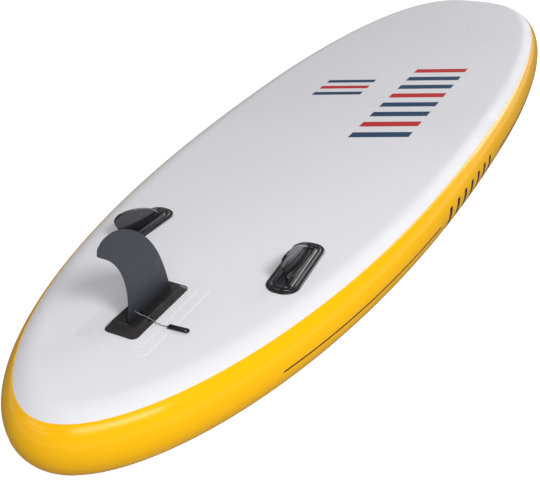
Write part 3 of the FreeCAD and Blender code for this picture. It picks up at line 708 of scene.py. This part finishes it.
def rounded_loop(width, length, corners, inset=0.0, steps=10):
    """A rectangle drawn in by inset, as one closed line. Its corners, one radius or four, are round."""
    quarter = np.linspace(0, math.pi / 2, steps)
    radii = corners if isinstance(corners, tuple) else (corners,) * 4
    lines = []
    for turn, (signs, corner) in enumerate(zip(((1, 1), (-1, 1), (-1, -1), (1, -1)), radii)):
        corner = max(corner - inset, 0.0003)
        half = np.array([width / 2 - inset - corner, length / 2 - inset - corner])
        angle = quarter + turn * math.pi / 2
        lines.append(half * signs + corner * np.stack([np.cos(angle), np.sin(angle)], -1))
    return np.concatenate(lines)


def even_loop(line, count):
    """A closed line as count points, evenly spaced along it."""
    closed = np.concatenate([line, line[:1]])
    length = np.concatenate([[0], np.cumsum(np.hypot(*np.diff(closed, axis=0).T))])
    even = np.linspace(0, length[-1], count, endpoint=False)
    return np.stack([np.interp(even, length, closed[:, k]) for k in (0, 1)], -1)


def stack(size, profile, steps=10):
    """A width, length and corner as closed lines at the insets and heights of a profile, one row each."""
    rows = []
    for inset, z in profile:
        flat = rounded_loop(*size, inset, steps)
        rows.append(np.column_stack([flat, np.full(len(flat), z)]))
    return np.array(rows)


def round_edge(z0, z1, radius, steps=5):
    """Profile of a plate's side: up from z0, then a quarter round of the given radius to z1."""
    angle = np.linspace(0, math.pi / 2, steps)
    return [(0, z0)] + list(zip(radius - radius * np.cos(angle), z1 - radius + radius * np.sin(angle)))


def placed(points, place, turn=0.0, height=0.0):
    """Points turned about Z, then moved."""
    c, s = math.cos(turn), math.sin(turn)
    turned = points @ np.array([[c, s, 0], [-s, c, 0], [0, 0, 1]])
    return turned + np.array([place[0], place[1], height])


def make_patches():
    """Two thin patches round the fin box, each with a soft pressed edge."""
    low = BOTTOM_Z - 0.0002
    for name, radius in (("patch_large", 0.020), ("patch_small", 0.018)):
        corner_low, corner_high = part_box("fin_" + name)
        size = corner_high - corner_low
        centre = (corner_low + corner_high) / 2
        points = stack((size.x, size.y, radius), round_edge(low, corner_high.z, 0.0006))
        patch = make_surface(name, placed(points, centre), wrap_columns=True, caps=True)
        dress(patch, "board", "patch_pvc", "fin_" + name)


def smooth_rows(values, count):
    """A Catmull-Rom curve through the given rows, in count even steps."""
    values = np.array(values, float)
    padded = np.concatenate([2 * values[:1] - values[1:2], values, 2 * values[-1:] - values[-2:-1]])
    t = np.linspace(0, len(values) - 1, count)
    k = np.minimum(t.astype(int), len(values) - 2)
    u = (t - k)[:, None]
    a, b, c, d = (padded[k + i] for i in range(4))
    square = 2 * a - 5 * b + 4 * c - d
    cube = 3 * b - a - 3 * c + d
    return 0.5 * (2 * b + (c - a) * u + square * u ** 2 + cube * u ** 3)


def foil_blade(sections, edges, count=70, around=64):
    """A blade: at each step a foil from leading to trailing edge, thickest forward of its middle.

    With s running along the chord, the half thickness is a straight change from the leading edge's
    share to the trailing edge's, and the rest of it times the sine of pi s^0.75. Both ends are
    rounded by the circle's formula over the edge's own half thickness.
    """
    table = smooth_rows([(*lead, *trail, thick) for lead, trail, thick in sections], count)
    angle = np.linspace(0, 2 * math.pi, around, endpoint=False)
    s = (1 - np.cos(angle)) / 2
    side = np.sign(np.sin(angle))
    half = table[:, 4:5] / 2
    chord = np.hypot(table[:, 2:3] - table[:, 0:1], table[:, 3:4] - table[:, 1:2])
    lead = np.maximum(half * edges[0], 0.0005)
    trail = np.maximum(half * edges[1], 0.0005)
    straight = lead + (trail - lead) * s
    full = (half - straight) * np.sin(math.pi * s ** 0.75)
    nose = np.clip(1 - s * chord / lead, 0, 1)
    tail = np.clip(1 - (1 - s) * chord / trail, 0, 1)
    x = side * (straight + full) * np.sqrt(1 - nose ** 2) * np.sqrt(1 - tail ** 2)
    y = table[:, 0:1] + (table[:, 2:3] - table[:, 0:1]) * s
    z = table[:, 1:2] + (table[:, 3:4] - table[:, 1:2]) * s
    blade = np.stack([x, y, z], -1)
    middle = blade[-1].mean(0)
    tip = [
        middle + (blade[-1] - middle) * keep + np.array([0, -out, -out * 0.4])
        for keep, out in ((0.85, 0.0006), (0.5, 0.0012), (0.1, 0.0014))
    ]
    return np.concatenate([blade, np.array(tip)])


def make_centre_fin():
    """The raked blade, its foot in the box's slot, and the small knot of the cord at its hole."""
    blade = make_surface("fin_blade", foil_blade(FIN_SECTIONS, FIN_EDGES), wrap_columns=True, caps=True)
    width, length, height = FOOT_SIZE
    upper = round_edge(FOOT_LOW + FOOT_EDGE, FOOT_LOW + height, FOOT_EDGE)
    points = stack((width, length, 0.002), [(FOOT_EDGE, FOOT_LOW)] + upper)
    points = placed(points, (0, FOOT_MIDDLE_Y))
    foot = make_surface("fin_foot", points, wrap_columns=True, caps=True, sharp=40)
    dress(blade, "centre_fin", "fin_grey", "centre_fin")
    dress(foot, "centre_fin", "fin_grey", "centre_fin")
    knot = make_surface("cord_knot", knot_points(Vector(CORD_ROUTE[0]), 0.0023), wrap_columns=True)
    dress(knot, "centre_fin", "cord")


def knot_points(centre, radius):
    """A small knot: a ball whose radius swells with the sine of twice and three times its angles."""
    up = np.linspace(-math.pi / 2, math.pi / 2, 18)[:, None]
    around = np.linspace(0, 2 * math.pi, 26, endpoint=False)[None]
    swell = radius * (1 + 0.14 * np.sin(2 * around + 3 * up) * np.cos(up))
    reach = swell * np.cos(up)
    ball = np.stack([swell * np.sin(up), reach * np.cos(around), reach * np.sin(around)], -1)
    return ball + np.array(centre)


def make_side_fins():
    """Side fins: an oval base with a rolled rim and two ridges, and a thick swept blade."""
    low, top = -0.0002, 0.003
    profile = [(0, low), (0, 0.0012), (0.0006, 0.0022), (0.0018, 0.0029), (0.004, top), (0.0082, top)]
    for inset, wide, rise in ((0.009, 0.004, 0.0026), (0.020, 0.0035, 0.0042)):
        profile += [
            (inset, top + 0.0003), (inset + 0.0004, top + rise * 0.75), (inset + 0.0012, top + rise),
            (inset + wide - 0.0012, top + rise), (inset + wide - 0.0004, top + rise * 0.75),
            (inset + wide, top + 0.0003), (inset + wide + 0.001, top),
        ]
    base_points = stack(SIDE_BASE, profile, 14)
    blade_points = foil_blade(SIDE_FIN_SECTIONS, SIDE_FIN_EDGES, 46)
    for side, name in ((1, "right"), (-1, "left")):
        place = (side * SIDE_FIN_PLACE[0], SIDE_FIN_PLACE[1])
        turn = side * SIDE_FIN_TOE
        for kind, node, points in (
            ("side_base_", "side_fin_base_", base_points), ("side_blade_", "side_fin_", blade_points),
        ):
            there = placed(points, place, turn, BOTTOM_Z)
            piece = make_surface(kind + name, there, wrap_columns=True, caps=True)
            dress(piece, "board", "gloss_black", node + name)


def dressed_copy(node, name, body, slot, width=0.0006, angle=25):
    """A copy of a node's mesh with its loose triangles joined, and rounded edges on top."""
    mesh = frame["nodes"][node].data.copy()
    mesh.name = name
    clean = start_mending(mesh)
    bmesh.ops.remove_doubles(clean, verts=clean.verts, dist=2e-6)
    bmesh.ops.dissolve_limit(clean, angle_limit=math.radians(1), verts=clean.verts, edges=clean.edges)
    end_mending(clean, mesh)
    piece = add_piece(name, mesh, sharp=angle)
    bevel = piece.modifiers.new("edges", "BEVEL")
    bevel.width = width
    bevel.segments = 3
    bevel.limit_method = "ANGLE"
    bevel.angle_limit = math.radians(angle)
    return dress(piece, body, slot, node)


def make_key_and_cord():
    """The flat key with its hole, and the thin cord from the fin to the key."""
    length, width, thick = KEY_SIZE
    corners = (width / 2 - 0.0003, 0.0008, 0.0008, width / 2 - 0.0003)
    outline = even_loop(rounded_loop(length, width, corners), 120)
    hole_centre = np.array([length / 2 - KEY_HOLE_FROM_END, 0])
    away = outline - hole_centre
    way = away / np.linalg.norm(away, axis=1)[:, None]
    edge = 0.0005
    inner = even_loop(rounded_loop(length, width, corners, edge), 120)
    rim = hole_centre + way * (KEY_HOLE + edge)
    hole = hole_centre + way * KEY_HOLE
    section = (
        (hole, edge), (rim, 0), (inner, 0), (outline, edge), (outline, thick - edge), (inner, thick),
        (rim, thick), (hole, thick - edge),
    )
    rows = [np.column_stack([line, np.full(len(line), z)]) for line, z in section]
    points = placed(np.array(rows), KEY_PLACE, KEY_TURN, KEY_LOW)
    key = make_surface("lock_key", points, wrap_rows=True, wrap_columns=True, sharp=45)
    dress(key, "centre_fin", "key_plastic", "fin_key")

    curve = bpy.data.curves.new("key_cord", "CURVE")
    curve.dimensions = "3D"
    line = curve.splines.new("NURBS")
    line.points.add(len(CORD_ROUTE) - 1)
    for point, place in zip(line.points, CORD_ROUTE):
        point.co = (*place, 1)
    line.order_u = 3
    line.use_endpoint_u = True
    line.resolution_u = 8
    curve.bevel_depth = CORD_RADIUS
    curve.bevel_resolution = 5
    curve.use_fill_caps = True
    cord = bpy.data.objects.new("key_cord", curve)
    bpy.context.scene.collection.objects.link(cord)
    dress(cord, "centre_fin", "cord", "fin_key_cord")


def pad_width(y):
    """Half width of the padded area at y, from the scaled outline."""
    line = (half_outline(900)[0] * np.array(PAD_SCALE))[1:-1]
    return np.interp(y, line[:, 1], line[:, 0])


def make_pads():
    """Foam pads: grooves run along each pad, and its edges are bevelled on the side it lies on."""
    for place in ("tail", "left", "right", "middle", "front"):
        name = "deck_pad_" + place
        low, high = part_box(name)
        ends = np.linspace(0, math.pi / 2, 9)[:-1]
        corner = PAD_CORNER * (1 - np.cos(ends))
        straight = np.linspace(low.y + PAD_CORNER, high.y - PAD_CORNER, 40)
        y = np.concatenate([low.y + corner, straight, (high.y - corner)[::-1]])
        near = np.clip(np.minimum(y - low.y, high.y - y), 0, PAD_CORNER)
        pulled = PAD_CORNER - np.sqrt(np.clip(PAD_CORNER ** 2 - (PAD_CORNER - near) ** 2, 0, None))
        outside = pad_width(y)
        left = np.maximum(low.x, -outside) + pulled
        right = np.minimum(high.x, outside) - pulled
        if place == "left":
            right = np.full(len(y), high.x) - pulled
        if place == "right":
            left = np.full(len(y), low.x) + pulled
        steps = 6 * int((high.x - low.x - 2 * PAD_BORDER) / GROOVE_PITCH) + 1
        border = PAD_BORDER / (high.x - low.x)
        cut = np.clip(np.cos(np.arange(steps) * math.pi / 3) * 1.6 - 0.6, 0, 1)
        cut = np.concatenate([[0, 0, 0], cut, [0, 0, 0]])
        rim = np.array([0, 0.3 * border, 0.6 * border])
        share = np.concatenate([rim, np.linspace(border, 1 - border, steps), 1 - rim[::-1]])
        x = left[:, None] + (right - left)[:, None] * share
        from_end = np.minimum(y - low.y, high.y - y)
        fade = np.clip((from_end - PAD_BORDER) / 0.004, 0, 1)[:, None]
        from_side = np.minimum(x - left[:, None], right[:, None] - x)
        edge = np.clip(1 - np.minimum(from_side, from_end[:, None]) / PAD_BEVEL, 0, 1)
        z = GROOVE_DEPTH * cut * fade + PAD_BEVEL * edge ** 2
        foot = np.stack([x, np.broadcast_to(y[:, None], x.shape), z], -1)
        lid = foot.copy()
        lid[..., 2] = DECK_Z
        pad = make_pad_block(name + "_foam", foot, lid)
        dress(pad, "board", "foam", name)


def make_pad_block(name, foot, lid):
    """A closed block between two grids that share their outline."""
    rows, columns = foot.shape[:2]
    faces = grid_faces(rows, columns)
    total = rows * columns
    line = np.concatenate([
        np.arange(columns), np.arange(1, rows) * columns + columns - 1,
        np.arange(columns - 2, -1, -1) + (rows - 1) * columns, np.arange(rows - 2, 0, -1) * columns,
    ])
    after = np.roll(line, -1)
    sides = np.stack([line, after, after + total, line + total], -1)
    every = faces.tolist() + sides.tolist() + [(line[::-1] + total).tolist()]
    mesh = bpy.data.meshes.new(name)
    mesh.from_pydata(np.concatenate([foot.reshape(-1, 3), lid.reshape(-1, 3)]).tolist(), [], every)
    clean = start_mending(mesh)
    loose = [vertex for vertex in clean.verts if not vertex.link_faces]
    bmesh.ops.delete(clean, geom=loose, context="VERTS")
    bmesh.ops.remove_doubles(clean, verts=clean.verts, dist=1e-6)
    end_mending(clean, mesh)
    return add_piece(name, mesh, sharp=35)


def strip(name, half_width, half_length, low, high, rows=60):
    """A flat strap along Y: a rounded bar section carried along, with UVs in metres."""
    angle = np.linspace(0, 2 * math.pi, 40, endpoint=False)
    thick = (high - low) / 2
    section_x = np.sign(np.cos(angle)) * np.abs(np.cos(angle)) ** 0.35 * half_width
    section_z = np.sign(np.sin(angle)) * np.abs(np.sin(angle)) ** 0.6 * thick
    y = np.linspace(-half_length, half_length, rows)[:, None]
    points = np.stack(np.broadcast_arrays(section_x, y, (low + high) / 2 + section_z), -1)
    return make_surface(name, points, wrap_columns=True, caps=True, uv=points[..., :2])


def make_handle():
    """Patches, webbing with box stitches, and a soft grip, all pressed flat on the deck."""
    low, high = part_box("handle_webbing")
    webbing = strip("handle_strap", high.x, high.y, low.z, high.z)
    dress(webbing, "board", "webbing", "handle_webbing")
    low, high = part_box("handle_grip")
    grip = strip("handle_sleeve", high.x, high.y, low.z, high.z)
    dress(grip, "board", "foam", "handle_grip")
    dressed_copy("handle_patches", "handle_base_patches", "board", "grey_pvc", 0.0004)
    make_stitches()


def make_stitches():
    """Rows of short stitches round each end of the webbing, as small rounded bars."""
    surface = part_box("handle_webbing")[0].z - 0.0001
    bars = []
    for side in (-1, 1):
        near, far = side * STITCHED[0], side * STITCHED[1]
        box = [(-1, near), (1, near), (1, far), (-1, far), (-1, near), (1, far)]
        corners = np.array(box) * (STITCHED_HALF_WIDTH, 1)
        for start, end in zip(corners, corners[1:]):
            count = max(int(np.hypot(*(end - start)) / STITCH_PITCH), 2)
            ends = (np.arange(count)[:, None] + (0.15, 0.8)) / count
            bars += [start + (end - start) * pair[:, None] for pair in ends]
    angle = np.linspace(0, 2 * math.pi, 6, endpoint=False)
    all_points = []
    all_faces = []
    for start, end in bars:
        way = (end - start) / np.hypot(*(end - start))
        side_way = np.array([-way[1], way[0]])
        rings = []
        for share, size in ((0, 0.5), (0.25, 1), (0.75, 1), (1, 0.5)):
            centre = start + (end - start) * share
            across = centre + side_way * (STITCH_RADIUS * size * np.cos(angle))[:, None]
            rings.append(np.column_stack([across, surface + 0.75 * STITCH_RADIUS * size * np.sin(angle)]))
        base = len(all_points) * 24
        all_points.append(np.concatenate(rings))
        all_faces += (grid_faces(4, 6, wrap_columns=True) + base).tolist()
        all_faces += [[base + i for i in range(5, -1, -1)], [base + 18 + i for i in range(6)]]
    mesh = bpy.data.meshes.new("handle_stitches")
    mesh.from_pydata(np.concatenate(all_points).tolist(), [], all_faces)
    end_mending(start_mending(mesh), mesh)
    dress(add_piece("handle_stitches", mesh, smooth=False), "board", "thread")


def ring_path(count=96):
    """The D's middle line: a half circle and a bar with small round corners, as a closed line."""
    bend = 0.0028
    arc = np.linspace(0.24, math.pi - 0.24, 48)
    bow = RING_HALF * np.stack([np.cos(arc), np.sin(arc)], -1)
    bar = np.stack([np.linspace(-RING_HALF + bend * 1.3, RING_HALF - bend * 1.3, 24), np.zeros(24)], -1)
    corner = np.array([[-RING_HALF + 0.0004, bend * 0.35]])
    line = np.concatenate([bow, corner, bar, corner * np.array([-1, 1])])
    return even_loop(line, count)


def make_rings():
    """D-rings of round wire: a circle carried round the D's middle line."""
    path = ring_path()
    ahead = np.roll(path, -1, 0) - np.roll(path, 1, 0)
    ahead /= np.linalg.norm(ahead, axis=1)[:, None]
    outward = np.stack([ahead[:, 1], -ahead[:, 0]], -1)
    angle = np.linspace(0, 2 * math.pi, 20, endpoint=False)
    flat = path[:, None] + outward[:, None] * (RING_WIRE * np.cos(angle))[None, :, None]
    z = np.broadcast_to(RING_WIRE * np.sin(angle), flat.shape[:2])
    wire = np.concatenate([flat, z[..., None]], -1)
    for name, (x, y, way) in RING_PLACES.items():
        turn = 0.0 if way > 0 else math.pi
        ring = make_surface(
            "ring_" + name, placed(wire, (x, y), turn, RING_Z), wrap_rows=True, wrap_columns=True
        )
        dress(ring, "d_ring_" + name, "stainless", "d_ring_" + name)
    dressed_copy("ring_patches", "ring_base_patches", "board", "grey_pvc", 0.0004)
    dressed_copy("ring_straps", "ring_webbing", "board", "webbing", 0.0003, 40)


def make_valve_spring():
    """The spring under the valve's button: a dressed copy with a mesh of its own."""
    spring = dressed_copy("valve_spring", "spring_coil", "board", "stainless", 0.00005, 60)
    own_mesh(spring)


def dress_cad_nodes():
    """Nodes whose shape is right keep it, and take their slot's finish."""
    slots = {entry["node"]: entry["material_slot"] for entry in frame["record"]["subparts"]}
    for node, piece in frame["nodes"].items():
        for material_slot in piece.material_slots:
            material_slot.material = finishes[slots[node]]


def make_floor():
    """A pale floor: white to the camera, with the object's shadow, and dimmer where things mirror it.

    It is clear when seen from below, and to the light of the lamp under it.
    """
    mesh = bpy.data.meshes.new("floor")
    reach = 14.0
    low = -0.0004
    corners = [(-reach, -reach, low), (reach, -reach, low), (reach, reach, low), (-reach, reach, low)]
    mesh.from_pydata(corners, [], [(0, 1, 2, 3)])
    floor = bpy.data.objects.new("floor", mesh)
    bpy.context.scene.collection.objects.link(floor)
    material = bpy.data.materials.new("floor_white")
    material.use_nodes = True
    tree = Tree(material.node_tree)
    material.node_tree.nodes.remove(material.node_tree.nodes["Principled BSDF"])
    path = tree.add("ShaderNodeLightPath").outputs
    mirrored = tree.larger(path["Is Glossy Ray"], path["Is Transmission Ray"])
    matt, dull, dim = (
        tree.add("ShaderNodeBsdfDiffuse", {"Color": (grey, grey, grey + 0.01, 1)}).outputs["BSDF"]
        for grey in (0.80, 0.55, 0.16)
    )
    glow = tree.add("ShaderNodeEmission", {"Color": (1, 1, 1, 1), "Strength": 0.70}).outputs["Emission"]
    bright = tree.add("ShaderNodeAddShader", {0: matt, 1: glow}).outputs["Shader"]
    unseen = tree.add("ShaderNodeMixShader", {0: mirrored, 1: dull, 2: dim}).outputs["Shader"]
    seen = path["Is Camera Ray"]
    upper = tree.add("ShaderNodeMixShader", {0: seen, 1: unseen, 2: bright}).outputs["Shader"]
    back = tree.add("ShaderNodeNewGeometry").outputs["Backfacing"]
    open_way = tree.larger(back, path["Is Shadow Ray"])
    clear = tree.add("ShaderNodeBsdfTransparent").outputs["BSDF"]
    whole = tree.add("ShaderNodeMixShader", {0: open_way, 1: upper, 2: clear}).outputs["Shader"]
    tree.put(material.node_tree.nodes["Material Output"].inputs["Surface"], whole)
    mesh.materials.append(material)


def make_light():
    """A white surround that lights from above alone, and lamps by the tail, the nose and the deck.

    Where things mirror it, the surround is dim overhead, with a bright panel beyond the nose and a
    weaker one beyond the tail.
    """
    world = bpy.data.worlds.new("surround")
    bpy.context.scene.world = world
    world.use_nodes = True
    tree = Tree(world.node_tree)
    path = tree.add("ShaderNodeLightPath").outputs
    ray = tree.add("ShaderNodeTexCoord").outputs["Generated"]
    axes = tree.add("ShaderNodeSeparateXYZ", {"Vector": ray}).outputs
    mirrored = tree.ramp(axes["Z"], 0.0, 0.32, 0.85, 0.14)
    for across, height, test, reach, power in (
        ((-0.05, 0.42), (0.20, 0.44), "GREATER_THAN", 0.6, 4.0),
        ((-0.80, -0.25), (0.36, 0.64), "LESS_THAN", -0.4, 1.3),
    ):
        panel = tree.times(tree.within(axes["X"], *across), tree.within(axes["Z"], *height))
        panel = tree.times(panel, tree.math(test, axes["Y"], reach))
        mirrored = tree.plus(mirrored, tree.times(panel, power))
    glossy = tree.times(path["Is Glossy Ray"], mirrored)
    plain = tree.minus(1.0, tree.larger(path["Is Camera Ray"], path["Is Glossy Ray"]))
    plain = tree.times(plain, tree.math("GREATER_THAN", axes["Z"], 0.0))
    strength = tree.plus(glossy, tree.times(plain, 0.42))
    strength = tree.plus(strength, path["Is Camera Ray"])
    background = world.node_tree.nodes["Background"]
    background.inputs["Color"].default_value = (1, 1, 1, 1)
    tree.put(background.inputs["Strength"], strength)
    make_lamp("tail_key", (2.24, -2.04, 2.50), (0, -1.0, 0.1), (0.8, 0.8), 61, False)
    make_lamp("overhead", (1.75, -2.95, 2.50), (0.15, -1.1, 0.1), (2.8, 0.6), 29)
    make_lamp("far_fill", (1.2, 2.6, 2.6), (0, 0.7, 0.1), (2.0, 1.6), 36)
    make_lamp("from_below", (0, 0, -1.2), (0, 0, 0), (0.3, 2.4), 7)


make_camera()
make_groups()
finishes = make_materials()
make_floor()
make_light()
dress_cad_nodes()
make_key_and_cord()
make_faces()
make_bands()
make_patches()
dressed_copy("fin_box", "box_body", "board", "box_black", 0.0009)
make_centre_fin()
make_side_fins()
make_pads()
make_handle()
make_rings()
make_valve_spring()
for part_name in ("valve_body", "valve_cap", "mast_foot_insert", "mast_foot_patch"):
    rides_on = "valve_cap" if part_name == "valve_cap" else "board"
    finish = "grey_pvc" if part_name == "mast_foot_patch" else "valve_plastic"
    dressed_copy(part_name, part_name + "_dressed", rides_on, finish, 0.0004)

bpy.context.scene.view_settings.view_transform = "Standard"
